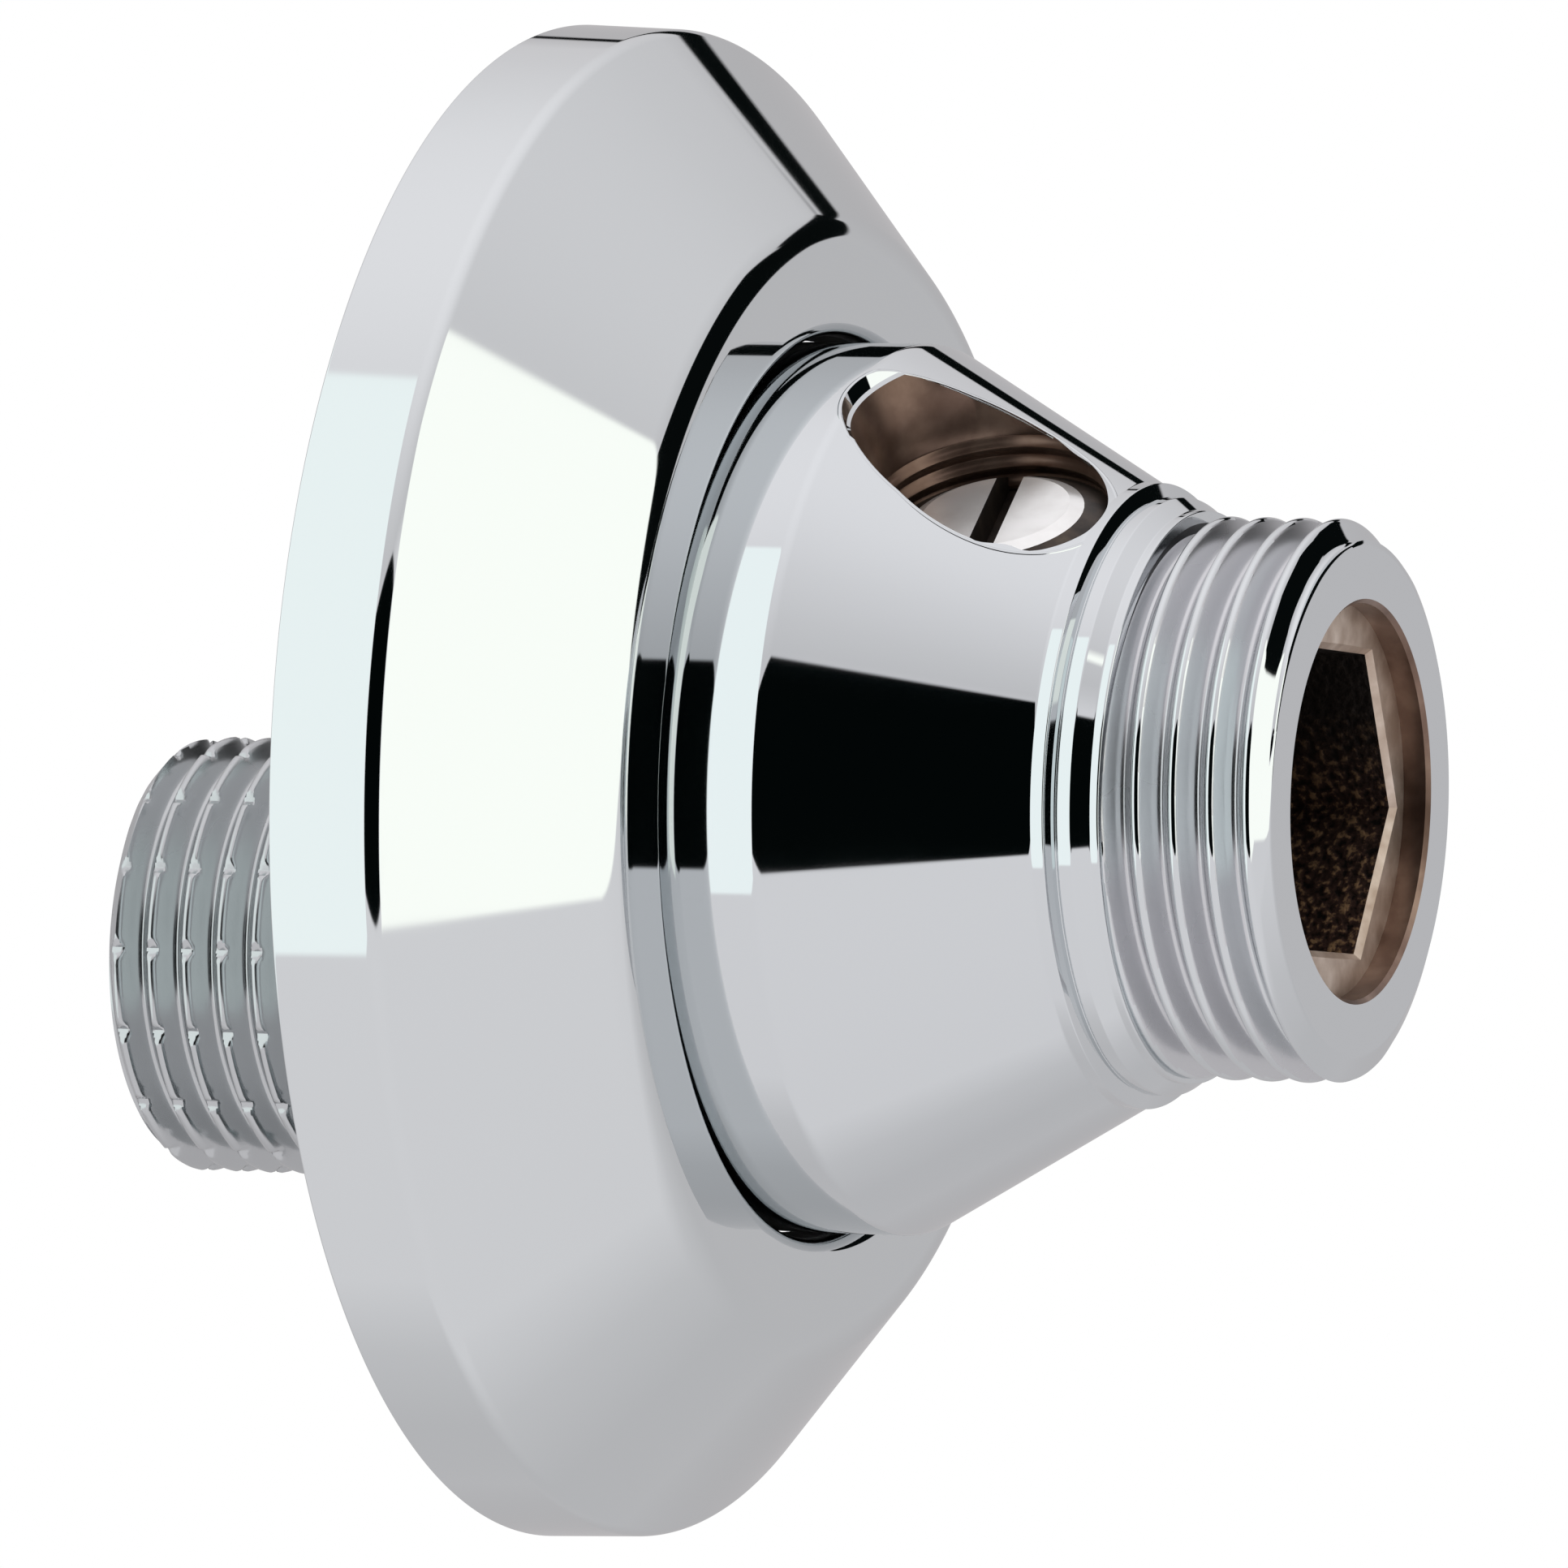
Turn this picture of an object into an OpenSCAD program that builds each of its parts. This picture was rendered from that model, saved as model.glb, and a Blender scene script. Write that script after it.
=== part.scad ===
// Eccentric union for a wall mixer: an offset threaded body with its own shut-off valve,
// and the sliding escutcheon that covers the hole in the wall.
// Millimetres. The wall thread's axis is Y, the wall plane is y = 0, the mixer side is -Y, up is +Z.
// "Forward" is the distance in front of the wall plane, so forward = -y.

/* [Wall side] */

// Wall thread, diameter over the crests
wall_thread_d = 20.955; // [16:0.005:27]
// Length of the wall nipple behind the wall plane
wall_thread_length = 22.3; // [14:0.1:40]
// Lead-in chamfer at the nipple's free end
wall_thread_chamfer = 0.8; // [0.2:0.1:1.5]
// Bore of the wall nipple
wall_bore_d = 14; // [10:0.1:16]

/* [Body] */

// Offset between the wall thread's axis and the mixer thread's axis
eccentricity = 10; // [0:0.1:10]
// How far the body's cylinder, on which the escutcheon slides, stands out past the wall thread
rear_margin = 0.47; // [0.1:0.01:2]
// Where that cylinder begins, in front of the wall plane
rear_start = 0.6; // [0.2:0.1:4]
// Blend between the cylinder and the neck cone
neck_blend = 1; // [0.2:0.1:3]
// Half angle of the neck cone
neck_half_angle = 30; // [25:1:34]
// Where the neck cone meets the mixer thread, in front of the wall plane
neck_end = 31; // [30:0.1:36]

/* [Mixer side] */

// Mixer thread, diameter over the crests
mixer_thread_d = 26.441; // [20.955:0.001:33.249]
// Length of the mixer thread
mixer_thread_length = 8.4; // [6:0.1:16]
// Chamfer at the mixer thread's free end
mixer_thread_chamfer = 1.05; // [0.3:0.05:1.5]
// Diameter of the counterbore in the mouth
mouth_d = 18.44; // [17:0.01:20]
// Depth of the counterbore in the mouth
mouth_depth = 1.3; // [0.4:0.1:3]
// Width over flats of the hexagon socket for the fitting key
hex_flats = 14; // [8:0.5:15]
// Depth of the hexagon socket behind the counterbore
hex_depth = 8; // [4:0.5:8]

/* [Shut-off valve] */

// Valve axis, in front of the wall plane
valve_forward = 23.5; // [22.5:0.1:24.5]
// Diameter of the threaded port of the valve
port_d = 11; // [10.4:0.1:11.4]
// Flare of the port's mouth, half angle
port_flare = 14; // [0:1:30]
// Height above the mixer axis where the flare begins
port_flare_start = 18.3; // [16:0.1:20]
// Height of the ledge under the threaded port, above the mixer axis
ledge_height = 10; // [9:0.1:11]
// Diameter of the smooth valve chamber
chamber_d = 9.2; // [8.4:0.1:9.6]
// Height of the seat's lip, from the mixer axis
seat_height = -1.5; // [-2:0.1:-0.5]
// How far the seat's lip stands above the chamber floor
seat_lip = 0.4; // [0.2:0.1:0.8]
// Width of the seat's lip
seat_lip_width = 0.9; // [0.5:0.1:1]
// Bore of the seat
seat_d = 5; // [3:0.1:5.4]
// Channel between the wall bore and the seat
feed_d = 9; // [6:0.1:9.4]
// Where the wall bore narrows to the feed channel, in front of the wall plane
feed_start = 14.1; // [8:0.1:16]
// How far the feed channel runs past the seat
feed_overrun = 0.3; // [0.1:0.1:0.5]
// Channel between the chamber and the hexagon socket
outlet_d = 7; // [5:0.1:7]
// Height of the outlet channel above the mixer axis
outlet_height = 2.2; // [1.8:0.1:3]

/* [Spindle] */

// How far the spindle screws down from open to closed
valve_travel = 2; // [1:0.1:2.2]
// Gap between the spindle's head and the ledge with the valve closed
ledge_gap = 0.2; // [0.1:0.1:0.5]
// Length of the spindle's threaded head
head_length = 2.6; // [2:0.1:4]
// Chamfer width of the spindle's head
head_chamfer = 1.9; // [0.5:0.1:2.5]
// Chamfer height of the spindle's head
head_chamfer_height = 0.9; // [0.3:0.1:1.5]
// Width of the screwdriver slot
slot_width = 1.3; // [0.8:0.1:2]
// Depth of the screwdriver slot
slot_depth = 1.6; // [0.8:0.1:2]
// Angle of the screwdriver slot as photographed
slot_angle = 8; // [-90:1:90]
// Thickness of the seat washer
washer_thickness = 1.6; // [1:0.1:2]
// Gap beside the washer and its plate, which the water passes
washer_side_gap = 0.7; // [0.5:0.1:1]
// Diameter of the stud on which the washer turns
stud_d = 2.1; // [1.6:0.1:2.8]
// Thickness of the plate above the washer
washer_plate = 1.2; // [0.8:0.1:2]
// Diameter of the spindle's neck, which the water passes
spindle_neck_d = 4.8; // [3.5:0.1:6]
// Height of the spindle's sealing ring above the mixer axis
spindle_ring_height = 9; // [8.6:0.1:9.1]
// Section diameter of the spindle's sealing ring
spindle_ring_section = 1.5; // [1:0.1:1.8]
// Width of the guide below the sealing ring
guide_land = 1; // [0.5:0.1:1.5]

/* [Escutcheon] */

// Diameter at the wall
rosette_d = 71.6; // [60:0.1:90]
// Diameter at the rim's front edge
rim_edge_d = 71.2; // [56:0.1:86]
// Height of the rim band
rim_height = 5; // [2:0.1:7]
// Round of the rim's front edge
rim_round = 1; // [0.3:0.1:2]
// Front of the escutcheon, in front of the wall plane
rosette_front = 13.3; // [12:0.1:15]
// Gap between the front ring and the body's cylinder
bore_gap = 1.2; // [0.8:0.1:1.4]
// Width of the flat front ring, up to where the line of the cone would meet it
front_width = 4.01; // [3:0.01:9]
// Blend between the cone and the front ring
front_blend = 3; // [2:0.5:9]
// Round of the front ring's inner edge
bore_round = 0.25; // [0.1:0.05:0.5]
// Wall thickness of the escutcheon
rosette_wall = 1.1; // [0.8:0.1:1.5]
// How far the sleeve reaches back from the front ring
sleeve_length = 4; // [3:0.1:6]
// Wall thickness of that sleeve
sleeve_wall = 1.7; // [1:0.1:2]
// Distance of the ring's groove behind the front ring
groove_setback = 2.2; // [1.8:0.1:2.6]
// Section diameter of the ring that holds the escutcheon in place
rosette_ring_section = 1.7; // [1.3:0.1:1.9]

/* [Clearances] */

// Radial clearance of the spindle's head in the port
thread_clearance = 0.08; // [0.02:0.01:0.1]
// Radial clearance of a sealing ring on each side
ring_clearance = 0.05; // [0.01:0.01:0.08]
// Extra width of a ring groove
groove_slack = 0.24; // [0.1:0.02:0.5]
// Radial clearance of the spindle's guide in the chamber
guide_clearance = 0.2; // [0.05:0.05:0.3]
// Clearance of the washer on its stud and under its plate
washer_clearance = 0.04; // [0.01:0.01:0.08]
// What is left above the seat at the closed end, taken up by the soft washer
seat_clearance = 0.02; // [0.01:0.01:0.05]

/* [Turned detail] */

// Width of the two fine turned grooves in front of the neck cone
mark_width = 0.3; // [0.1:0.05:0.6]
// Depth of those grooves
mark_depth = 0.25; // [0.05:0.05:0.4]
// Distance of the first groove behind the mixer thread
mark_distance = 2; // [1:0.1:3]

/* [Hidden] */

$fn = 96;
// How far a cutting solid reaches past the surface that it opens
past = 1;
// Points on a rounded corner of a turned profile
arc_steps = 6;

wall_thread_r = wall_thread_d / 2;
mixer_thread_r = mixer_thread_d / 2;
rear_r = eccentricity + wall_thread_r + rear_margin;
port_r = port_d / 2;
chamber_r = chamber_d / 2;

// Forward positions along the body
face_forward = neck_end + mixer_thread_length;
hex_mouth = face_forward - mouth_depth;
hex_floor = hex_mouth - hex_depth;
neck_start = neck_end - (rear_r - mixer_thread_r) / tan(neck_half_angle);
feed_end = valve_forward + seat_d / 2 + feed_overrun;

// Heights of the spindle's parts above the mixer axis, with the valve open
washer_bottom = seat_height + seat_clearance + valve_travel;
washer_top = washer_bottom + washer_thickness;
plate_bottom = washer_top + washer_clearance;
plate_top = plate_bottom + washer_plate;
washer_r = chamber_r - washer_side_gap;
guide_r = chamber_r - guide_clearance;
ring_groove_half = (spindle_ring_section + groove_slack) / 2;
guide_bottom = spindle_ring_height - ring_groove_half - guide_land;
head_bottom = ledge_height + valve_travel + ledge_gap;
head_top = head_bottom + head_length;
head_r = port_r - thread_clearance;

// Sealing ring of the spindle
spindle_ring_outer = chamber_r - ring_clearance;
spindle_ring_centre = spindle_ring_outer - spindle_ring_section / 2;
spindle_groove_r = spindle_ring_outer - spindle_ring_section - ring_clearance;

// Escutcheon, as forward positions and radii
sleeve_back = rosette_front - sleeve_length;
rosette_bore_r = rear_r + bore_gap;
sleeve_r = rosette_bore_r + sleeve_wall;
rosette_ring_inner = rear_r + ring_clearance;
rosette_ring_centre = rosette_ring_inner + rosette_ring_section / 2;
rosette_groove_r = rosette_ring_inner + rosette_ring_section + ring_clearance;
rosette_groove_half = (rosette_ring_section + groove_slack) / 2;
rosette_groove_forward = rosette_front - groove_setback;

// Unit vector along v
function unit(v) = v / norm(v);

// Half of the angle at a corner between its two neighbours
function half_angle(before, at, after) = acos(unit(before - at) * unit(after - at)) / 2;

// Point at distance r from both sides of a corner
function inset(before, at, after, r) =
    at + unit(unit(before - at) + unit(after - at)) * r / sin(half_angle(before, at, after));

// Points that replace a corner by an arc of radius r
function arc_points(before, at, after, r) =
    let (
        centre = inset(before, at, after, r),
        reach = r / tan(half_angle(before, at, after)),
        from = at + unit(before - at) * reach - centre,
        to = at + unit(after - at) * reach - centre
    )
    [for (i = [0 : arc_steps]) centre + r * unit(from * (arc_steps - i) + to * i)];

// A closed profile in which every corner has its own round: each entry is [radius, forward, round]
function rounded_profile(corners) =
    let (last = len(corners) - 1)
    [for (i = [0 : last])
        let (
            at = [corners[i][0], corners[i][1]],
            prior = corners[i == 0 ? last : i - 1],
            next = corners[i == last ? 0 : i + 1],
            round = corners[i][2]
        )
        each round > 0
            ? arc_points([prior[0], prior[1]], at, [next[0], next[1]], round)
            : [at]];

// Puts a shape drawn along Z on the mixer axis, so that its Z is the forward distance
module on_mixer_axis() {
    translate([0, 0, eccentricity])
        rotate([90, 0, 0])
            children();
}

// Puts a shape drawn along Z on the wall thread's axis, so that its Z is the forward distance
module on_wall_axis() {
    rotate([90, 0, 0])
        children();
}

// Puts a shape drawn along Z on the valve axis, so that its Z is the height above the mixer axis
module on_valve_axis() {
    translate([0, -valve_forward, eccentricity])
        children();
}

// A turned solid from a profile of [radius, forward, round]
module turned(corners) {
    rotate_extrude()
        polygon(rounded_profile(corners));
}

// A drilled hole between two heights
module drilled(d, from, to) {
    translate([0, 0, from])
        cylinder(h = to - from, d = d);
}

// A ring of round section
module sealing_ring(centre_r, section) {
    rotate_extrude()
        translate([centre_r, 0])
            circle(d = section);
}

// Outside of the body: cylinder, neck cone and mixer thread on the mixer axis
module body_outside() {
    on_mixer_axis()
        turned([
            [0, rear_start, 0],
            [rear_r, rear_start, 0],
            [rear_r, neck_start, neck_blend],
            [mixer_thread_r, neck_end, 0],
            [mixer_thread_r, face_forward - mixer_thread_chamfer, 0],
            [mixer_thread_r - mixer_thread_chamfer, face_forward, 0],
            [0, face_forward, 0]
        ]);
}

// Wall nipple, on its own axis below the mixer axis
module wall_nipple() {
    on_wall_axis()
        turned([
            [0, -wall_thread_length, 0],
            [wall_thread_r - wall_thread_chamfer, -wall_thread_length, 0],
            [wall_thread_r, wall_thread_chamfer - wall_thread_length, 0],
            [wall_thread_r, rear_start + past, 0],
            [0, rear_start + past, 0]
        ]);
}

// Two fine turned grooves that end the polished neck
module turned_marks() {
    on_mixer_axis()
        for (distance = [0, mark_distance])
            translate([0, 0, neck_end - distance - mark_width / 2])
                difference() {
                    cylinder(h = mark_width, r = rear_r);
                    translate([0, 0, -past])
                        cylinder(
                            h = mark_width + 2 * past,
                            r = mixer_thread_r + distance * tan(neck_half_angle) - mark_depth
                        );
                }
}

// Water way from the wall to the seat
module feed_way() {
    on_wall_axis() {
        drilled(wall_bore_d, -wall_thread_length - past, feed_start);
        drilled(feed_d, feed_start - past, feed_end);
    }
    on_valve_axis()
        drilled(seat_d, -eccentricity, seat_height + past);
}

// Threaded port, smooth chamber and the trench around the seat's lip
module valve_chamber() {
    on_valve_axis() {
        drilled(port_d, ledge_height, rear_r + past);
        translate([0, 0, port_flare_start])
            cylinder(
                h = rear_r + past - port_flare_start,
                r1 = port_r,
                r2 = port_r + (rear_r + past - port_flare_start) * tan(port_flare)
            );
        drilled(chamber_d, seat_height, ledge_height + past);
        difference() {
            drilled(chamber_d, seat_height - seat_lip, seat_height + past);
            drilled(seat_d + 2 * seat_lip_width, seat_height - seat_lip - past, seat_height);
        }
    }
}

// Water way from the chamber to the mouth, with the hexagon that takes the fitting key
module outlet_way() {
    on_mixer_axis() {
        translate([0, outlet_height, 0])
            drilled(outlet_d, valve_forward, hex_floor + past);
        translate([0, 0, hex_floor])
            rotate([0, 0, 90])
                cylinder(h = hex_depth + past, d = hex_flats / cos(30), $fn = 6);
        drilled(mouth_d, hex_mouth, face_forward + past);
    }
}

module union_body() {
    color([0.78, 0.79, 0.8])
        difference() {
            union() {
                body_outside();
                wall_nipple();
            }
            turned_marks();
            feed_way();
            valve_chamber();
            outlet_way();
        }
}

// Thin spun cover: rim, cone and flat front ring, with a sleeve that holds the grip ring
module escutcheon() {
    back = [rosette_d / 2, 0];
    edge = [rim_edge_d / 2, rim_height];
    brow = [rosette_bore_r + front_width, rosette_front];
    front = [rosette_bore_r, rosette_front];
    edge_inside = inset(back, edge, brow, rosette_wall);
    brow_inside = inset(edge, brow, front, rosette_wall);
    color([0.8, 0.8, 0.81])
        on_mixer_axis()
            difference() {
                turned([
                    [back[0] - rosette_wall, back[1], 0],
                    [back[0], back[1], 0],
                    [edge[0], edge[1], rim_round],
                    [brow[0], brow[1], front_blend],
                    [front[0], front[1], bore_round],
                    [rosette_bore_r, sleeve_back, 0],
                    [sleeve_r, sleeve_back, 0],
                    [sleeve_r, rosette_front - rosette_wall, 0],
                    [brow_inside[0], brow_inside[1], front_blend - rosette_wall],
                    [edge_inside[0], edge_inside[1], 0]
                ]);
                translate([0, 0, rosette_groove_forward - rosette_groove_half])
                    cylinder(h = 2 * rosette_groove_half, r = rosette_groove_r);
            }
}

// Ring in the escutcheon's sleeve that grips the body's cylinder
module escutcheon_ring() {
    color([0.1, 0.1, 0.1])
        on_mixer_axis()
            translate([0, 0, rosette_groove_forward])
                sealing_ring(rosette_ring_centre, rosette_ring_section);
}

// Slotted spindle: threaded head, ring groove, neck, washer plate and stud, turned in one piece
module shutoff_spindle() {
    color([0.72, 0.66, 0.5])
        on_valve_axis()
            difference() {
                turned([
                    [0, washer_bottom + washer_clearance, 0],
                    [stud_d / 2, washer_bottom + washer_clearance, 0],
                    [stud_d / 2, plate_bottom, 0],
                    [washer_r, plate_bottom, 0],
                    [washer_r, plate_top, 0],
                    [spindle_neck_d / 2, plate_top, 0],
                    [spindle_neck_d / 2, guide_bottom, 0],
                    [guide_r, guide_bottom, 0],
                    [guide_r, spindle_ring_height - ring_groove_half, 0],
                    [spindle_groove_r, spindle_ring_height - ring_groove_half, 0],
                    [spindle_groove_r, spindle_ring_height + ring_groove_half, 0],
                    [guide_r, spindle_ring_height + ring_groove_half, 0],
                    [guide_r, head_bottom, 0],
                    [head_r, head_bottom, 0],
                    [head_r, head_top - head_chamfer_height, 0],
                    [head_r - head_chamfer, head_top, 0],
                    [0, head_top, 0]
                ]);
                rotate([0, 0, slot_angle])
                    translate([-port_r, -slot_width / 2, head_top - slot_depth])
                        cube([port_d, slot_width, slot_depth + past]);
            }
}

// Ring that seals the spindle in the smooth chamber
module spindle_ring() {
    color([0.1, 0.1, 0.1])
        on_valve_axis()
            translate([0, 0, spindle_ring_height])
                sealing_ring(spindle_ring_centre, spindle_ring_section);
}

// Soft washer that closes the seat; it turns free on the spindle's stud
module seat_washer() {
    color([0.15, 0.15, 0.15])
        on_valve_axis()
            translate([0, 0, washer_bottom])
                difference() {
                    cylinder(h = washer_thickness, r = washer_r);
                    translate([0, 0, -past])
                        cylinder(h = washer_thickness + 2 * past, d = stud_d + 2 * washer_clearance);
                }
}

union_body();
escutcheon();
escutcheon_ring();
shutoff_spindle();
spindle_ring();
seat_washer();
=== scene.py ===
import math

import bmesh
import bpy
from mathutils import Matrix, Vector


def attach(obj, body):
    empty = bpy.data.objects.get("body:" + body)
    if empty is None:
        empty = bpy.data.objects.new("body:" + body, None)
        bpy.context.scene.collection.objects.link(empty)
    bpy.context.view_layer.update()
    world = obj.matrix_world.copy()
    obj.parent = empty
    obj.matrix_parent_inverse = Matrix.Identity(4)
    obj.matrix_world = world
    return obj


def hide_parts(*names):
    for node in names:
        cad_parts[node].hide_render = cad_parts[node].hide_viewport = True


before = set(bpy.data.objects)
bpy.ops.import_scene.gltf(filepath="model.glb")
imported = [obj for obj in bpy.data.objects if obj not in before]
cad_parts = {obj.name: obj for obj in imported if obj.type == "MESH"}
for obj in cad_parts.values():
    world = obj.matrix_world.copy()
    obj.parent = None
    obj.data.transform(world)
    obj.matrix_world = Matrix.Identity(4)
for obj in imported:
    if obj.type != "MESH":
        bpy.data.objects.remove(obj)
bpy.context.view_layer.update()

# Lengths are in millimetres until a point is put into a mesh. "Forward" is the distance in front of
# the wall plane, so forward = -y, and the mixer axis lies RISE above the wall thread's axis.
MM = 0.001
TURN = 2 * math.pi

# Sizes that repeat those of the part's source
RISE = 10.0
WALL_THREAD_R = 10.4775
WALL_THREAD_END = 22.3
WALL_BORE_R = 7.0
REAR_R = 20.9475
REAR_START = 0.6
NECK_BLEND = 1.0
NECK_SLOPE = math.tan(math.radians(30))
NECK_END = 31.0
MIXER_THREAD_R = 13.2205
FACE = 39.4
MOUTH_R = 9.22
HEX_MOUTH = 38.1
HEX_FLOOR = 30.1
HEX_APOTHEM = 7.0
OUTLET_R = 3.5
OUTLET_RISE = 2.2
VALVE_FORWARD = 23.5
PORT_R = 5.5
PORT_FLARE_START = 18.3
PORT_FLARE = math.tan(math.radians(14))
LIP_START = 20.1
LIP_END = 20.25
LEDGE = 10.0
SEAM = HEX_FLOOR - 0.3
FEED_R = 4.5
FEED_START = 14.1
FEED_END = 26.3
CHAMBER_R = 4.6
SEAT_R = 2.5
SEAT_HEIGHT = -1.5
SEAT_LIP_R = 3.4
SEAT_TRENCH = 0.4
MARK_WIDTH = 0.3
MARK_DEPTH = 0.25
LINE_DISTANCE = 1.45
LAND = 0.65
LAND_FLANK = 0.31
COLLAR_END = 30.35
STEP_R = 13.38
STEP_SLOPE = math.tan(math.radians(40))
STEP_END = 31.5
PITCH = 1.814

SEGMENTS = 480


def polar(radius, forward, angle, rise=RISE):
    """A point at that angle about an axis that lies along Y at height rise; angle 0 is up."""
    return (radius * math.sin(angle), -forward, rise + radius * math.cos(angle))


def unit2(v):
    n = math.hypot(*v)
    return (v[0] / n, v[1] / n)


def rounded(corners, steps=10):
    """A profile of (radius, forward, round) corners with each round turned into an arc."""
    out = []
    for i, (r, f, size) in enumerate(corners):
        if size <= 0 or i in (0, len(corners) - 1):
            out.append((r, f))
            continue
        u = unit2((corners[i - 1][0] - r, corners[i - 1][1] - f))
        v = unit2((corners[i + 1][0] - r, corners[i + 1][1] - f))
        half = math.acos(max(-1, min(1, u[0] * v[0] + u[1] * v[1]))) / 2
        reach = size / math.tan(half)
        m = unit2((u[0] + v[0], u[1] + v[1]))
        c = (r + m[0] * size / math.sin(half), f + m[1] * size / math.sin(half))
        a = (r + u[0] * reach - c[0], f + u[1] * reach - c[1])
        b = (r + v[0] * reach - c[0], f + v[1] * reach - c[1])
        sweep = math.pi - 2 * half
        for k in range(steps + 1):
            t = k / steps
            w0, w1 = math.sin((1 - t) * sweep) / math.sin(sweep), math.sin(t * sweep) / math.sin(sweep)
            out.append((c[0] + a[0] * w0 + b[0] * w1, c[1] + a[1] * w0 + b[1] * w1))
    return out


def supported(points, gap=0.03):
    """Adds a point close to each end of every long side, so that smooth shading keeps flats flat."""
    out = [points[0]]
    for p, q in zip(points, points[1:]):
        length = math.hypot(q[0] - p[0], q[1] - p[1])
        if length > 8 * gap:
            d = ((q[0] - p[0]) / length * gap, (q[1] - p[1]) / length * gap)
            out += [(p[0] + d[0], p[1] + d[1]), (q[0] - d[0], q[1] - d[1])]
        out.append(q)
    return out


def rings_to_object(name, rings, bands=None, cap_ends=False, sharp=math.radians(35)):
    """A mesh from rings of equal length. bands gives the material number of each band of faces."""
    bm = bmesh.new()
    loops = [[bm.verts.new(Vector(p) * MM) for p in ring] for ring in rings]
    count = len(rings[0])
    for i, (a, b) in enumerate(zip(loops, loops[1:])):
        for k in range(count):
            n = (k + 1) % count
            face = bm.faces.new((a[k], a[n], b[n], b[k]))
            face.material_index = bands[i] if bands else 0
    if cap_ends:
        for loop, number in ((loops[0], 0), (loops[-1], -1)):
            face = bm.faces.new(loop)
            face.material_index = bands[number] if bands else 0
    bmesh.ops.recalc_face_normals(bm, faces=bm.faces)
    mesh = bpy.data.meshes.new(name)
    bm.to_mesh(mesh)
    bm.free()
    mesh.polygons.foreach_set("use_smooth", [True] * len(mesh.polygons))
    mesh.set_sharp_from_angle(angle=sharp)
    obj = bpy.data.objects.new(name, mesh)
    bpy.context.scene.collection.objects.link(obj)
    return obj


def ring(radius, forward, count=SEGMENTS, rise=RISE):
    return [polar(radius, forward, TURN * k / count, rise) for k in range(count)]


# Materials

def new_material(name):
    material = bpy.data.materials.new(name)
    material.use_nodes = True
    nodes = material.node_tree.nodes
    return material, nodes, material.node_tree.links, nodes["Principled BSDF"]


def noise(nodes, links, scale, detail=3.0, coords="Object"):
    where = nodes.new("ShaderNodeTexCoord")
    tex = nodes.new("ShaderNodeTexNoise")
    tex.inputs["Scale"].default_value = scale
    tex.inputs["Detail"].default_value = detail
    links.new(where.outputs[coords], tex.inputs["Vector"])
    return tex


def ramp(nodes, links, source, stops):
    node = nodes.new("ShaderNodeValToRGB")
    while len(node.color_ramp.elements) < len(stops):
        node.color_ramp.elements.new(0.5)
    for element, (place, colour) in zip(node.color_ramp.elements, stops):
        element.position = place
        element.color = (*colour, 1)
    links.new(source, node.inputs["Fac"])
    return node.outputs["Color"]


def bump(nodes, links, source, shader, strength, distance):
    node = nodes.new("ShaderNodeBump")
    node.inputs["Strength"].default_value = strength
    node.inputs["Distance"].default_value = distance
    links.new(source, node.inputs["Height"])
    links.new(node.outputs["Normal"], shader.inputs["Normal"])


def node_math(nodes, links, operation, *values):
    node = nodes.new("ShaderNodeMath")
    node.operation = operation
    for socket, value in zip(node.inputs, values):
        if isinstance(value, (int, float)):
            socket.default_value = value
        else:
            links.new(value, socket)
    return node.outputs[0]


def make_chrome(name, tint, low, high):
    material, nodes, links, shader = new_material(name)
    shader.inputs["Base Color"].default_value = (*tint, 1)
    shader.inputs["Metallic"].default_value = 1.0
    cloud = noise(nodes, links, 90.0)
    links.new(ramp(nodes, links, cloud.outputs["Fac"], [(0.35, (low,) * 3), (0.7, (high,) * 3)]),
              shader.inputs["Roughness"])
    return material


def make_brass(name, dark, light, speck, rough=0.5, relief=0.3, scale=1500.0):
    material, nodes, links, shader = new_material(name)
    grain = noise(nodes, links, scale, 4.0)
    links.new(ramp(nodes, links, grain.outputs["Fac"],
                   [(0.35, dark), (0.56, light), (0.68, speck)]), shader.inputs["Base Color"])
    shader.inputs["Metallic"].default_value = 0.75
    shader.inputs["Roughness"].default_value = rough
    bump(nodes, links, grain.outputs["Fac"], shader, 0.6, relief * MM)
    return material


def make_socket(name, dark, warm, speck, low, high):
    """Rough dark brass whose warm grain and specks grow from height high down to height low."""
    material, nodes, links, shader = new_material(name)
    grain = noise(nodes, links, 2600.0, 4.0)
    plain = ramp(nodes, links, grain.outputs["Fac"], [(0.35, dark), (0.75, tuple(3 * d for d in dark))])
    gold = ramp(nodes, links, grain.outputs["Fac"], [(0.35, dark), (0.54, warm), (0.66, speck)])
    where = nodes.new("ShaderNodeTexCoord").outputs["Object"]
    split = nodes.new("ShaderNodeSeparateXYZ")
    links.new(where, split.inputs[0])
    span = (low - high) * MM
    clamp = nodes.new("ShaderNodeClamp")
    links.new(node_math(nodes, links, "MULTIPLY_ADD", split.outputs["Z"], 1 / span, -high * MM / span),
              clamp.inputs["Value"])
    mix = nodes.new("ShaderNodeMix")
    mix.data_type = "RGBA"
    links.new(clamp.outputs["Result"], mix.inputs["Factor"])
    links.new(plain, mix.inputs["A"])
    links.new(gold, mix.inputs["B"])
    links.new(mix.outputs["Result"], shader.inputs["Base Color"])
    shader.inputs["Metallic"].default_value = 0.75
    shader.inputs["Roughness"].default_value = 0.5
    bump(nodes, links, grain.outputs["Fac"], shader, 0.6, 0.15 * MM)
    return material


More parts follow.
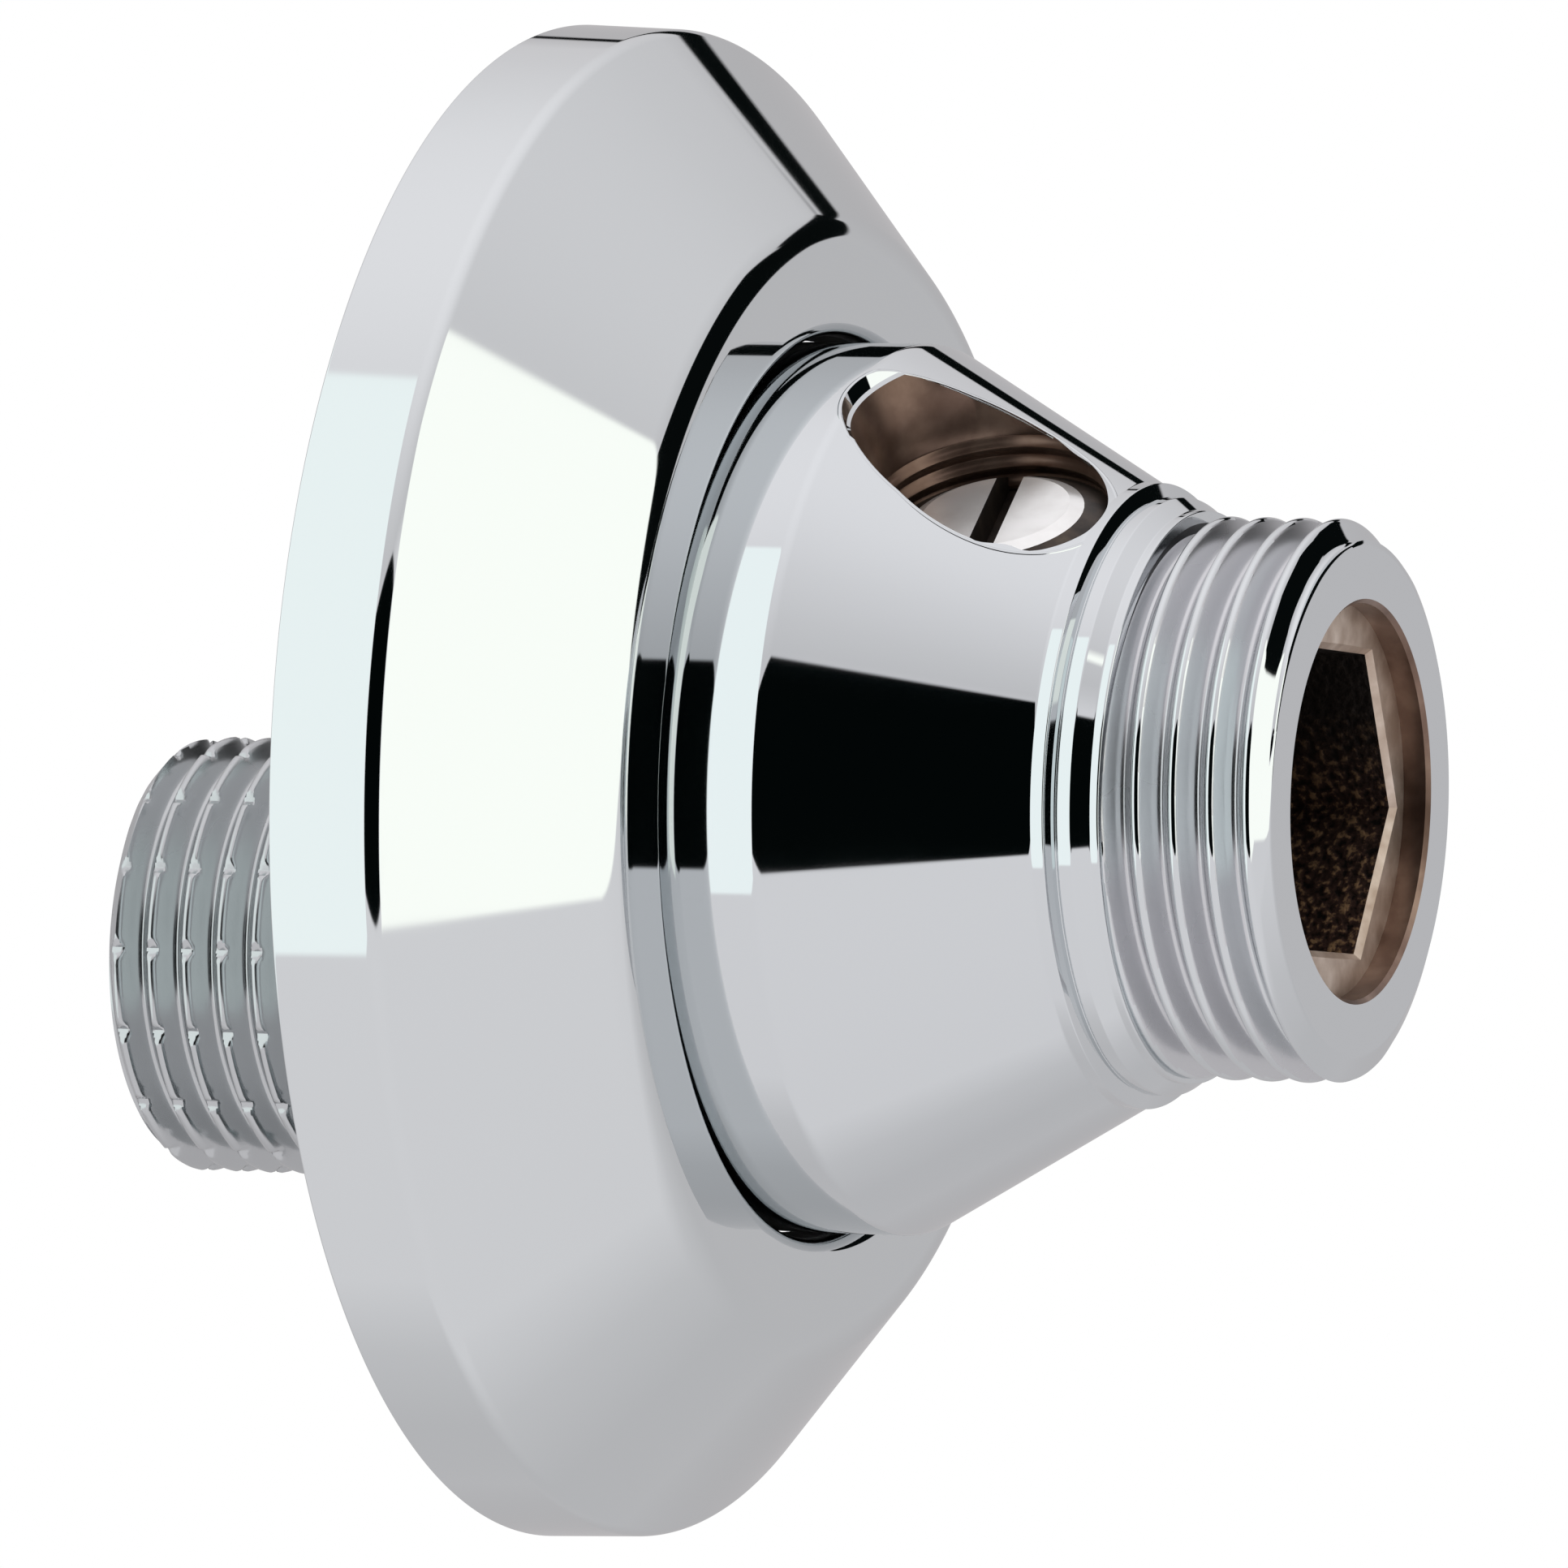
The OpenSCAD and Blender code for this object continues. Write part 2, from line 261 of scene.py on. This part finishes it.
def make_rubber(name):
    material, nodes, links, shader = new_material(name)
    grain = noise(nodes, links, 900.0)
    links.new(ramp(nodes, links, grain.outputs["Fac"],
                   [(0.3, (0.012, 0.012, 0.012)), (0.7, (0.03, 0.03, 0.03))]),
              shader.inputs["Base Color"])
    shader.inputs["Roughness"].default_value = 0.6
    bump(nodes, links, grain.outputs["Fac"], shader, 0.2, 0.0001)
    return material


chrome = make_chrome("chrome_body", (0.625, 0.655, 0.67), 0.02, 0.05)
chrome_cover = make_chrome("chrome_cover", (0.63, 0.66, 0.67), 0.03, 0.06)
chrome_thread = make_chrome("chrome_thread", (0.50, 0.52, 0.53), 0.14, 0.28)
chrome_flank = make_chrome("chrome_flank", (0.60, 0.61, 0.63), 0.22, 0.34)
# Near-black chrome that paints shade: the dark undercut at the neck's step and the dark gap inside the
# escutcheon's lip.
painted_shade_chrome = make_chrome("painted_shade_chrome", (0.03, 0.032, 0.034), 0.3, 0.4)
brass = make_brass("bare_brass", (0.022, 0.015, 0.011), (0.07, 0.045, 0.032), (0.55, 0.36, 0.16), 0.5, 0.2)
brass_socket = make_socket("socket_brass", (0.012, 0.0095, 0.008), (0.11, 0.06, 0.045), (0.6, 0.38, 0.2),
                           RISE - 7.0, RISE + 1.0)
brass_wall = make_brass("turned_brass", (0.13, 0.08, 0.058), (0.22, 0.145, 0.11), (0.30, 0.21, 0.16), 0.3,
                        0.01, 350.0)
brass_edge = make_brass("brass_ledge", (0.42, 0.32, 0.25), (0.56, 0.46, 0.38), (0.66, 0.56, 0.48), 0.35,
                        0.01, 700.0)
spindle_metal = make_brass("spindle_metal", (0.84, 0.84, 0.83), (0.93, 0.94, 0.93), (0.96, 0.96, 0.96), 0.28,
                           0.006, 500.0)
# A dark copy of the spindle's metal that paints shade in its slot and on its sides below the top face.
spindle_painted_shade = make_brass("spindle_painted_shade", (0.035, 0.03, 0.027), (0.07, 0.055, 0.045), (0.1, 0.08, 0.06), 0.45,
                          0.01, 700.0)
rubber = make_rubber("ring_rubber")


# Thread form: a 55 degree pipe thread with rounded crests and roots

THREAD_ROUND = 0.137329 * PITCH
THREAD_HALF = 0.320163 * PITCH
FLANK = 0.96049 * 2
ARC_REACH = THREAD_ROUND * math.cos(math.radians(27.5))


def thread_depth(axial):
    """How far the thread's surface lies under its crest at that axial place."""
    u = abs((axial / PITCH + 0.5) % 1.0 - 0.5) * PITCH
    if u < ARC_REACH:
        height = THREAD_HALF - THREAD_ROUND + math.sqrt(THREAD_ROUND ** 2 - u * u)
    elif PITCH / 2 - u < ARC_REACH:
        v = PITCH / 2 - u
        height = -(THREAD_HALF - THREAD_ROUND + math.sqrt(THREAD_ROUND ** 2 - v * v))
    else:
        height = (PITCH / 4 - u) * FLANK
    return THREAD_HALF - height


def smooth(t):
    t = max(0.0, min(1.0, t))
    return t * t * (3 - 2 * t)


# Mixer end: thread, sealing face, counterbore, hexagon socket and outlet, as one run of rings

FIRST_CREST = 31.33
NEAR_ANGLE = math.radians(-67)
CREST_R = MIXER_THREAD_R - 0.1
END_SLOPE = 2.3
END_R = 11.85
THREAD_STEP = 0.07


def mixer_end():
    rings, bands = [], []
    rows = int((FACE - NECK_END - 0.15) / THREAD_STEP)
    for i in range(rows + 1):
        forward = NECK_END + 0.15 + (FACE - NECK_END - 0.15) * i / rows
        runout = smooth((forward - NECK_END - 0.15) / 0.5)
        limit = END_R + END_SLOPE * (FACE - forward)
        points = []
        for k in range(SEGMENTS):
            angle = TURN * k / SEGMENTS
            depth = thread_depth(forward - FIRST_CREST + PITCH * (angle - NEAR_ANGLE) / TURN) * runout
            radius = min(CREST_R - MARK_DEPTH * (1 - runout) - depth, limit)
            points.append(polar(radius, forward, angle))
        rings.append(points)
        bands.append(0)
    for radius, forward, number in (
            (END_R - 0.05, FACE, 0), (MOUTH_R + 0.25, FACE, 0), (MOUTH_R + 0.2, FACE, 0),
            (MOUTH_R, FACE - 0.2, 2), (MOUTH_R, FACE - 0.25, 2), (MOUTH_R, HEX_MOUTH + 0.03, 2),
            (MOUTH_R, HEX_MOUTH, 2), (MOUTH_R - 0.03, HEX_MOUTH, 3)):
        rings.append(ring(radius, forward))
        bands.append(number)
    hexagon = [HEX_APOTHEM / math.cos((TURN * k / SEGMENTS) % (TURN / 6) - TURN / 12)
               for k in range(SEGMENTS)]
    for extra, forward, number in ((0.3, HEX_MOUTH, 3), (0.0, HEX_MOUTH - 0.3, 3),
                                   (0.0, HEX_MOUTH - 0.35, 1), (0.0, HEX_FLOOR + 0.05, 1),
                                   (0.0, HEX_FLOOR, 1), (-0.05, HEX_FLOOR, 1)):
        rings.append([polar(min(h + extra, MOUTH_R - 0.04), forward, TURN * k / SEGMENTS)
                      for k, h in enumerate(hexagon)])
        bands.append(number)
    for radius, forward, number in ((OUTLET_R, HEX_FLOOR, 1), (OUTLET_R, SEAM, 1)):
        points = []
        for k, h in enumerate(hexagon):
            x, _, z = polar(h, forward, TURN * k / SEGMENTS)
            away = math.atan2(x, z - RISE - OUTLET_RISE)
            points.append(polar(radius, forward, away, RISE + OUTLET_RISE))
        rings.append(points)
        bands.append(number)
    obj = rings_to_object("mixer_end", rings, bands[1:] + [1], cap_ends=False)
    for face in obj.data.polygons:
        x, y, z = face.center / MM
        if NECK_END + 0.4 < -y < FACE - 1.6 and 11.5 < math.hypot(x, z - RISE) < CREST_R - 0.12:
            face.material_index = 4
    return obj


def neck():
    slope = NECK_SLOPE
    start = NECK_END - (REAR_R - MIXER_THREAD_R) / slope
    mark = NECK_END - LINE_DISTANCE
    mark_r = MIXER_THREAD_R + LINE_DISTANCE * slope
    half = MARK_WIDTH / 2
    collar_r = mark_r - half * slope
    land_r = mark_r + (LAND_FLANK + LAND) * slope
    profile = rounded([
        (WALL_THREAD_R, REAR_START, 0), (REAR_R, REAR_START, 0.08), (REAR_R, start, NECK_BLEND),
        (land_r, mark - LAND_FLANK - LAND, 0.3), (land_r, mark - LAND_FLANK, 0.06),
        (mark_r - MARK_DEPTH, mark, 0.05),
        (collar_r, mark + half, 0.04), (collar_r, COLLAR_END, 0.12),
        (STEP_R, COLLAR_END + (collar_r - STEP_R) / STEP_SLOPE, 0.1), (STEP_R, STEP_END, 0.1),
        (12.8, STEP_END, 0),
    ], 12)
    profile = supported(profile)
    outer = [ring(r, f) for r, f in profile]
    inner = [ring(r, f) for r, f in ((10.0, STEP_END), (10.0, SEAM))]
    inner += [ring(OUTLET_R, f, rise=RISE + OUTLET_RISE) for f in (SEAM, 23.0)]
    rings = outer + inner
    # Band 2, the annulus between collar and thread, gets the near-black chrome: painted shade in the
    # undercut.
    bands = [0] * (len(outer) - 1) + [2] + [1] * (len(inner) - 1)
    return rings_to_object("union_neck", rings, bands, cap_ends=True)


def port_cutter():
    count = 192
    top = REAR_R + 1.5
    trench = SEAT_HEIGHT - SEAT_TRENCH
    heights = [(SEAT_R, -RISE), (SEAT_R, SEAT_HEIGHT), (SEAT_LIP_R, SEAT_HEIGHT), (SEAT_LIP_R, trench),
               (CHAMBER_R, trench), (CHAMBER_R, LEDGE), (PORT_R, LEDGE)]
    z = LEDGE
    while z < PORT_FLARE_START - 2.2:
        z += 0.125
        heights.append((PORT_R - 0.12 + 0.12 * math.cos(TURN * (z - LEDGE)), z))
    heights += [(port_radius(z), z) for z in (PORT_FLARE_START, LIP_START, LIP_END, top)]
    rings = [[(r * math.sin(TURN * k / count), -VALVE_FORWARD + r * math.cos(TURN * k / count), RISE + z)
              for k in range(count)] for r, z in heights]
    bands = [0] * (len(heights) - 3) + [1, 1, 1]
    return rings_to_object("port_cutter", rings, bands, cap_ends=True)


def port_radius(z):
    """The port's radius at height z over the mixer axis: bore, flare, then a plated lip."""
    if z <= PORT_FLARE_START:
        return PORT_R
    if z <= LIP_START:
        return PORT_R + (z - PORT_FLARE_START) * PORT_FLARE
    start = PORT_R + (LIP_START - PORT_FLARE_START) * PORT_FLARE
    return start + min(z - LIP_START, LIP_END - LIP_START) + max(0.0, z - LIP_END) * PORT_FLARE


def body_radius(forward):
    return min(REAR_R, MIXER_THREAD_R + (NECK_END - forward) * NECK_SLOPE)


def port_bead():
    """The narrow bright edge that follows the port's rim."""
    count, around, size = 256, 10, 0.13
    centres = []
    for k in range(count):
        angle = TURN * k / count
        z = 15.0
        for _ in range(60):
            r = port_radius(z) + 0.1
            across, forward = r * math.sin(angle), VALVE_FORWARD - r * math.cos(angle)
            z = 0.5 * z + 0.5 * math.sqrt(body_radius(forward) ** 2 - across ** 2)
        centres.append((Vector((across, -forward, RISE + z)),
                        Vector((across, 0, z)).normalized(), Vector((math.sin(angle), math.cos(angle), 0))))
    bm = bmesh.new()
    loops = []
    for centre, out, away in centres:
        middle = centre - out * (size - 0.03) + away * 0.02
        side = (away - out * away.dot(out)).normalized()
        loops.append([bm.verts.new((middle + (out * math.cos(a) + side * math.sin(a)) * size) * MM)
                      for a in (TURN * j / around for j in range(around))])
    for a, b in zip(loops, loops[1:] + loops[:1]):
        for j in range(around):
            n = (j + 1) % around
            bm.faces.new((a[j], a[n], b[n], b[j]))
    bmesh.ops.recalc_face_normals(bm, faces=bm.faces)
    mesh = bpy.data.meshes.new("port_bead")
    bm.to_mesh(mesh)
    bm.free()
    mesh.polygons.foreach_set("use_smooth", [True] * len(mesh.polygons))
    obj = bpy.data.objects.new("port_bead", mesh)
    bpy.context.scene.collection.objects.link(obj)
    return obj


def bore_cutter():
    rings = [ring(r, f, 192, 0.0) for r, f in ((WALL_BORE_R, REAR_START - 0.4), (WALL_BORE_R, FEED_START),
                                               (FEED_R, FEED_START), (FEED_R, FEED_END))]
    return rings_to_object("bore_cutter", rings, None, cap_ends=True)


def cut(obj, cutter):
    modifier = obj.modifiers.new("cut", "BOOLEAN")
    modifier.operation = "DIFFERENCE"
    modifier.solver = "EXACT"
    modifier.material_mode = "TRANSFER"
    modifier.object = cutter
    bpy.context.view_layer.update()
    cooked = bpy.data.meshes.new_from_object(obj.evaluated_get(bpy.context.evaluated_depsgraph_get()))
    obj.modifiers.clear()
    obj.data = cooked
    cooked.polygons.foreach_set("use_smooth", [True] * len(cooked.polygons))
    cooked.set_sharp_from_angle(angle=math.radians(28))
    bpy.data.objects.remove(cutter)


NOTCHES = 16
NOTCH_DEPTH = 0.4
NOTCH_TURN = math.radians(7.1)


def wall_nipple():
    count = 384
    rings, bands = [], []
    start, end = -REAR_START, WALL_THREAD_END
    rows = int((end - start) / 0.09)
    for i in range(rows + 1):
        y = start + (end - start) * i / rows
        limit = WALL_THREAD_R - 0.8 + (end - y)
        runout = smooth((y - start) / 1.0)
        points = []
        for k in range(count):
            angle = TURN * k / count
            depth = thread_depth(y - PITCH * angle / TURN) * runout
            place = abs(((angle - NOTCH_TURN) * NOTCHES / TURN + 0.5) % 1.0 - 0.5) / NOTCHES * TURN
            notch = max(0.0, NOTCH_DEPTH * (1 - place * WALL_THREAD_R / 0.5)) * runout
            radius = min(WALL_THREAD_R - max(depth, notch), limit)
            points.append(polar(radius, -y, angle, 0.0))
        rings.append(points)
        bands.append(0)
    for radius, y, number in ((WALL_THREAD_R - 1.2, end, 0), (WALL_BORE_R + 0.2, end, 0),
                              (WALL_BORE_R, end - 0.2, 1), (WALL_BORE_R, -REAR_START, 1)):
        rings.append(ring(radius, -y, count, 0.0))
        bands.append(number)
    return rings_to_object("wall_nipple", rings, bands[1:] + [1])


def escutcheon():
    profile = rounded([
        (34.7, 0.0, 0), (35.8, 0.0, 0.1), (35.6, 5.0, 1.0), (26.1575, 13.3, 3.0), (21.25, 13.3, 1.0),
        (21.25, 12.07, 0.05), (22.7475, 12.07, 0.05), (22.7475, 10.13, 0.05), (22.1475, 10.13, 0.05),
        (22.1475, 9.3, 0.1), (23.8475, 9.3, 0.1), (23.8475, 12.2, 0), (25.74, 12.2, 1.9), (34.5, 4.5, 0),
        (34.7, 0.0, 0)], 16)
    profile = supported(profile)
    rings = [ring(r, f, 384) for r, f in profile]
    # Band 1, the lip's inner wall and the groove behind it, gets the near-black chrome: painted shade in the
    # gap around the body.
    bands = [1 if p[0] < 23.0 and q[0] < 23.0 and q[1] < 13.0 and min(p[0], q[0]) < 21.3 or
             p[0] < 23.0 and p[1] < 12.2 and 9.2 < q[1] else 0 for p, q in zip(profile, profile[1:])]
    return rings_to_object("escutcheon_shell", rings, bands)


def dress(obj, materials, body, *nodes):
    for material in materials:
        obj.data.materials.append(material)
    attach(obj, body)
    if nodes:
        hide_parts(*nodes)


neck_obj = neck()
neck_obj.data.materials.append(chrome)
neck_obj.data.materials.append(brass)
neck_obj.data.materials.append(painted_shade_chrome)
cutter = port_cutter()
cutter.data.materials.append(brass_wall)
cutter.data.materials.append(chrome)
cut(neck_obj, cutter)
cutter = bore_cutter()
cutter.data.materials.append(brass)
cut(neck_obj, cutter)
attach(neck_obj, "union")
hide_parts("union_body")

mixer = mixer_end()
dress(mixer, [chrome, brass_socket, brass_wall, brass_edge, chrome_flank], "union", "union_body")
dress(port_bead(), [chrome], "union")
nipple = wall_nipple()
dress(nipple, [chrome_thread, brass], "union", "union_body")
cover = escutcheon()
dress(cover, [chrome_cover, painted_shade_chrome], "rosette", "escutcheon")

for node, material in (("shutoff_spindle", spindle_metal), ("spindle_ring", rubber),
                       ("seat_washer", rubber), ("escutcheon_ring", rubber)):
    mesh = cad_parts[node].data
    mesh.materials.clear()
    mesh.materials.append(material)
    if node == "shutoff_spindle":
        mesh.materials.append(spindle_painted_shade)
        # Faces below the top face take the dark copy: painted shade in the slot and down the sides.
        top = max(v.co.z for v in mesh.vertices)
        for face in mesh.polygons:
            face.material_index = int(face.center.z < top - 0.35 * MM)


# Camera, from a fit of the photograph. The photograph's level frame is turned about the mixer axis
# against the part's frame, because the union is photographed with its top towards the camera.
CAM_YAW, CAM_PITCH, CAM_ROLL = (math.radians(a) for a in (22.55, 4.9, -0.49))
CAM_TURN = math.radians(23.0)
CAM_DISTANCE = 700.0
CAM_SCALE = 26.131
CAM_SHIFT = (-0.269, -0.095)
PHOTO = 1932
SENSOR = 36.0


def level_to_camera():
    cy, sy = math.cos(CAM_YAW), math.sin(CAM_YAW)
    cp, sp = math.cos(CAM_PITCH), math.sin(CAM_PITCH)
    cr, sr = math.cos(CAM_ROLL), math.sin(CAM_ROLL)
    yaw = Matrix(((cy, sy, 0), (-sy, cy, 0), (0, 0, 1)))
    pitch = Matrix(((1, 0, 0), (0, cp, -sp), (0, sp, cp)))
    roll = Matrix(((cr, 0, sr), (0, 1, 0), (-sr, 0, cr)))
    return roll @ pitch @ yaw


# Rows are the photograph's axes (along the mixer axis, away, up) written in the part's frame
LEVEL = Matrix(((0, -1, 0), (math.cos(CAM_TURN), 0, -math.sin(CAM_TURN)),
                (math.sin(CAM_TURN), 0, math.cos(CAM_TURN))))
LEVEL_ORIGIN = Vector((0, -10.1, RISE))


def add_camera():
    data = bpy.data.cameras.new("camera")
    data.sensor_width = SENSOR
    data.lens = CAM_SCALE * CAM_DISTANCE / PHOTO * SENSOR
    data.shift_x = 0.0
    camera = bpy.data.objects.new("camera", data)
    bpy.context.scene.collection.objects.link(camera)
    to_camera = level_to_camera() @ LEVEL
    right, forward, up = (Vector(to_camera[i]) for i in range(3))
    place = LEVEL_ORIGIN - forward * CAM_DISTANCE - right * CAM_SHIFT[0] - up * CAM_SHIFT[1]
    camera.matrix_world = Matrix.Translation(place * MM) @ Matrix(
        (right, up, -forward)).transposed().to_4x4()
    data.clip_start, data.clip_end = 0.01, 10.0
    bpy.context.scene.camera = camera
    return to_camera


TO_CAMERA = add_camera()


# Surroundings that the chrome reflects: a light tent with a dark opening behind the camera, a white
# panel on each side of it and dark gaps between the panels. Each panel is a colour and its corners,
# clockwise or not, as (azimuth, elevation) in degrees in the camera's frame: azimuth 0 is behind the
# camera, 90 to its right and 180 straight ahead. A later panel lies over an earlier one.
PANELS = [
    ((0.002, 0.003, 0.003), [(73, 43.5), (98, 39.5), (122, 31), (141, 29), (140, 17), (132, 13),
                             (114, 1), (98, 0), (88, 18)]),
    ((0.002, 0.003, 0.003), [(126, 29), (128, 21), (165, 22), (190, 22.5), (190, 28.5), (165, 28.5)]),
    ((0.002, 0.003, 0.003), [(128, 27), (149.5, 27.5), (148, 20.5), (139, 14.3), (130, 13)]),
    ((0.001, 0.002, 0.002), [(-32, -19), (-32, 31), (18, 28.5), (46, 23), (46, -16), (16, -20)]),
    ((1.12, 1.12, 1.05), [(48, -18), (49, 36.8), (62, 42.0), (75, 41.4), (90, 20), (99, 8), (99, 0),
                          (80, -7), (66, -13)]),
    ((0.95, 1.00, 0.99), [(-34, -22), (-34, 30), (-57, 57), (-100, 53), (-100, -22)]),
]
EDGE_WIDTH = 0.014
# Light grey of the tent, by how far a direction points away from the camera, below and above
BELOW = [(0.0, 0.71), (0.5, 0.68), (0.62, 0.57), (0.75, 0.51), (0.87, 0.495), (1.0, 0.385)]
ABOVE = [(0.0, 0.54), (0.45, 0.56), (0.6, 0.62), (0.75, 0.70), (0.87, 0.78), (1.0, 0.85)]
ABOVE_FROM, ABOVE_TO = 0.38, 0.50
HAZE = (1.02, 0.99, 1.01)
LEVEL_OF_LIGHT = 1.33


def direction(azimuth, elevation):
    a, e = math.radians(azimuth), math.radians(elevation)
    return Vector((math.sin(a) * math.cos(e), -math.cos(a) * math.cos(e), math.sin(e)))


def add_world():
    world = bpy.data.worlds.new("tent")
    world.use_nodes = True
    bpy.context.scene.world = world
    nodes, links = world.node_tree.nodes, world.node_tree.links
    background = nodes["Background"]
    where = nodes.new("ShaderNodeTexCoord").outputs["Generated"]
    from_camera = TO_CAMERA.transposed()

    def along(axis):
        dot = nodes.new("ShaderNodeVectorMath")
        dot.operation = "DOT_PRODUCT"
        dot.inputs[1].default_value = from_camera @ axis
        links.new(where, dot.inputs[0])
        return dot.outputs["Value"]

    def clamped(value, scale, offset):
        node = nodes.new("ShaderNodeClamp")
        links.new(node_math(nodes, links, "MULTIPLY_ADD", value, scale, offset), node.inputs["Value"])
        return node.outputs["Result"]

    def mixed(factor, first, second):
        node = nodes.new("ShaderNodeMix")
        node.data_type = "RGBA"
        links.new(factor, node.inputs["Factor"])
        for value, socket in ((first, node.inputs["A"]), (second, node.inputs["B"])):
            if isinstance(value, tuple):
                socket.default_value = (*value, 1)
            else:
                links.new(value, socket)
        return node.outputs["Result"]

    def grey(value, stops):
        return ramp(nodes, links, value, [(at, tuple(tone * h for h in HAZE)) for at, tone in stops])

    away = clamped(along(Vector((0, 1, 0))), 0.5, 0.5)
    up = along(Vector((0, 0, 1)))
    rise = clamped(up, 1 / (ABOVE_TO - ABOVE_FROM), -ABOVE_FROM / (ABOVE_TO - ABOVE_FROM))
    colour = mixed(rise, grey(away, BELOW), grey(clamped(up, 1.0, 0.0), ABOVE))
    for tint, corners in PANELS:
        points = [direction(*corner) for corner in corners]
        middle = sum(points, Vector())
        mask = None
        for first, second in zip(points, points[1:] + points[:1]):
            side = first.cross(second).normalized()
            if side.dot(middle) < 0:
                side.negate()
            inside = clamped(along(side), 1 / EDGE_WIDTH, 0.5)
            mask = inside if mask is None else node_math(nodes, links, "MULTIPLY", mask, inside)
        colour = mixed(mask, colour, tint)
    rays = nodes.new("ShaderNodeLightPath")
    links.new(mixed(rays.outputs["Is Camera Ray"], colour, (1 / LEVEL_OF_LIGHT,) * 3),
              background.inputs["Color"])
    background.inputs["Strength"].default_value = LEVEL_OF_LIGHT


add_world()


def add_floor():
    """A white floor under the part; reflections show the tent instead of it."""
    material = bpy.data.materials.new("floor_white")
    material.use_nodes = True
    nodes, links = material.node_tree.nodes, material.node_tree.links
    nodes.clear()
    glow = nodes.new("ShaderNodeEmission")
    glow.inputs["Color"].default_value = (1, 1, 1, 1)
    glow.inputs["Strength"].default_value = 1.0
    clear = nodes.new("ShaderNodeBsdfTransparent")
    mix = nodes.new("ShaderNodeMixShader")
    rays = nodes.new("ShaderNodeLightPath").outputs["Is Camera Ray"]
    behind = nodes.new("ShaderNodeNewGeometry").outputs["Backfacing"]
    links.new(node_math(nodes, links, "MULTIPLY", rays, node_math(nodes, links, "SUBTRACT", 1.0, behind)),
              mix.inputs["Fac"])
    links.new(clear.outputs[0], mix.inputs[1])
    links.new(glow.outputs[0], mix.inputs[2])
    end = nodes.new("ShaderNodeOutputMaterial")
    links.new(mix.outputs[0], end.inputs["Surface"])
    mesh = bpy.data.meshes.new("floor")
    half, low = 1.5, (RISE - 35.8 - 0.2) * MM
    mesh.from_pydata([(-half, -half, low), (half, -half, low), (half, half, low), (-half, half, low)], [],
                     [(0, 1, 2, 3)])
    mesh.materials.append(material)
    floor = bpy.data.objects.new("floor", mesh)
    bpy.context.scene.collection.objects.link(floor)


add_floor()

bpy.context.scene.view_settings.view_transform = "Standard"
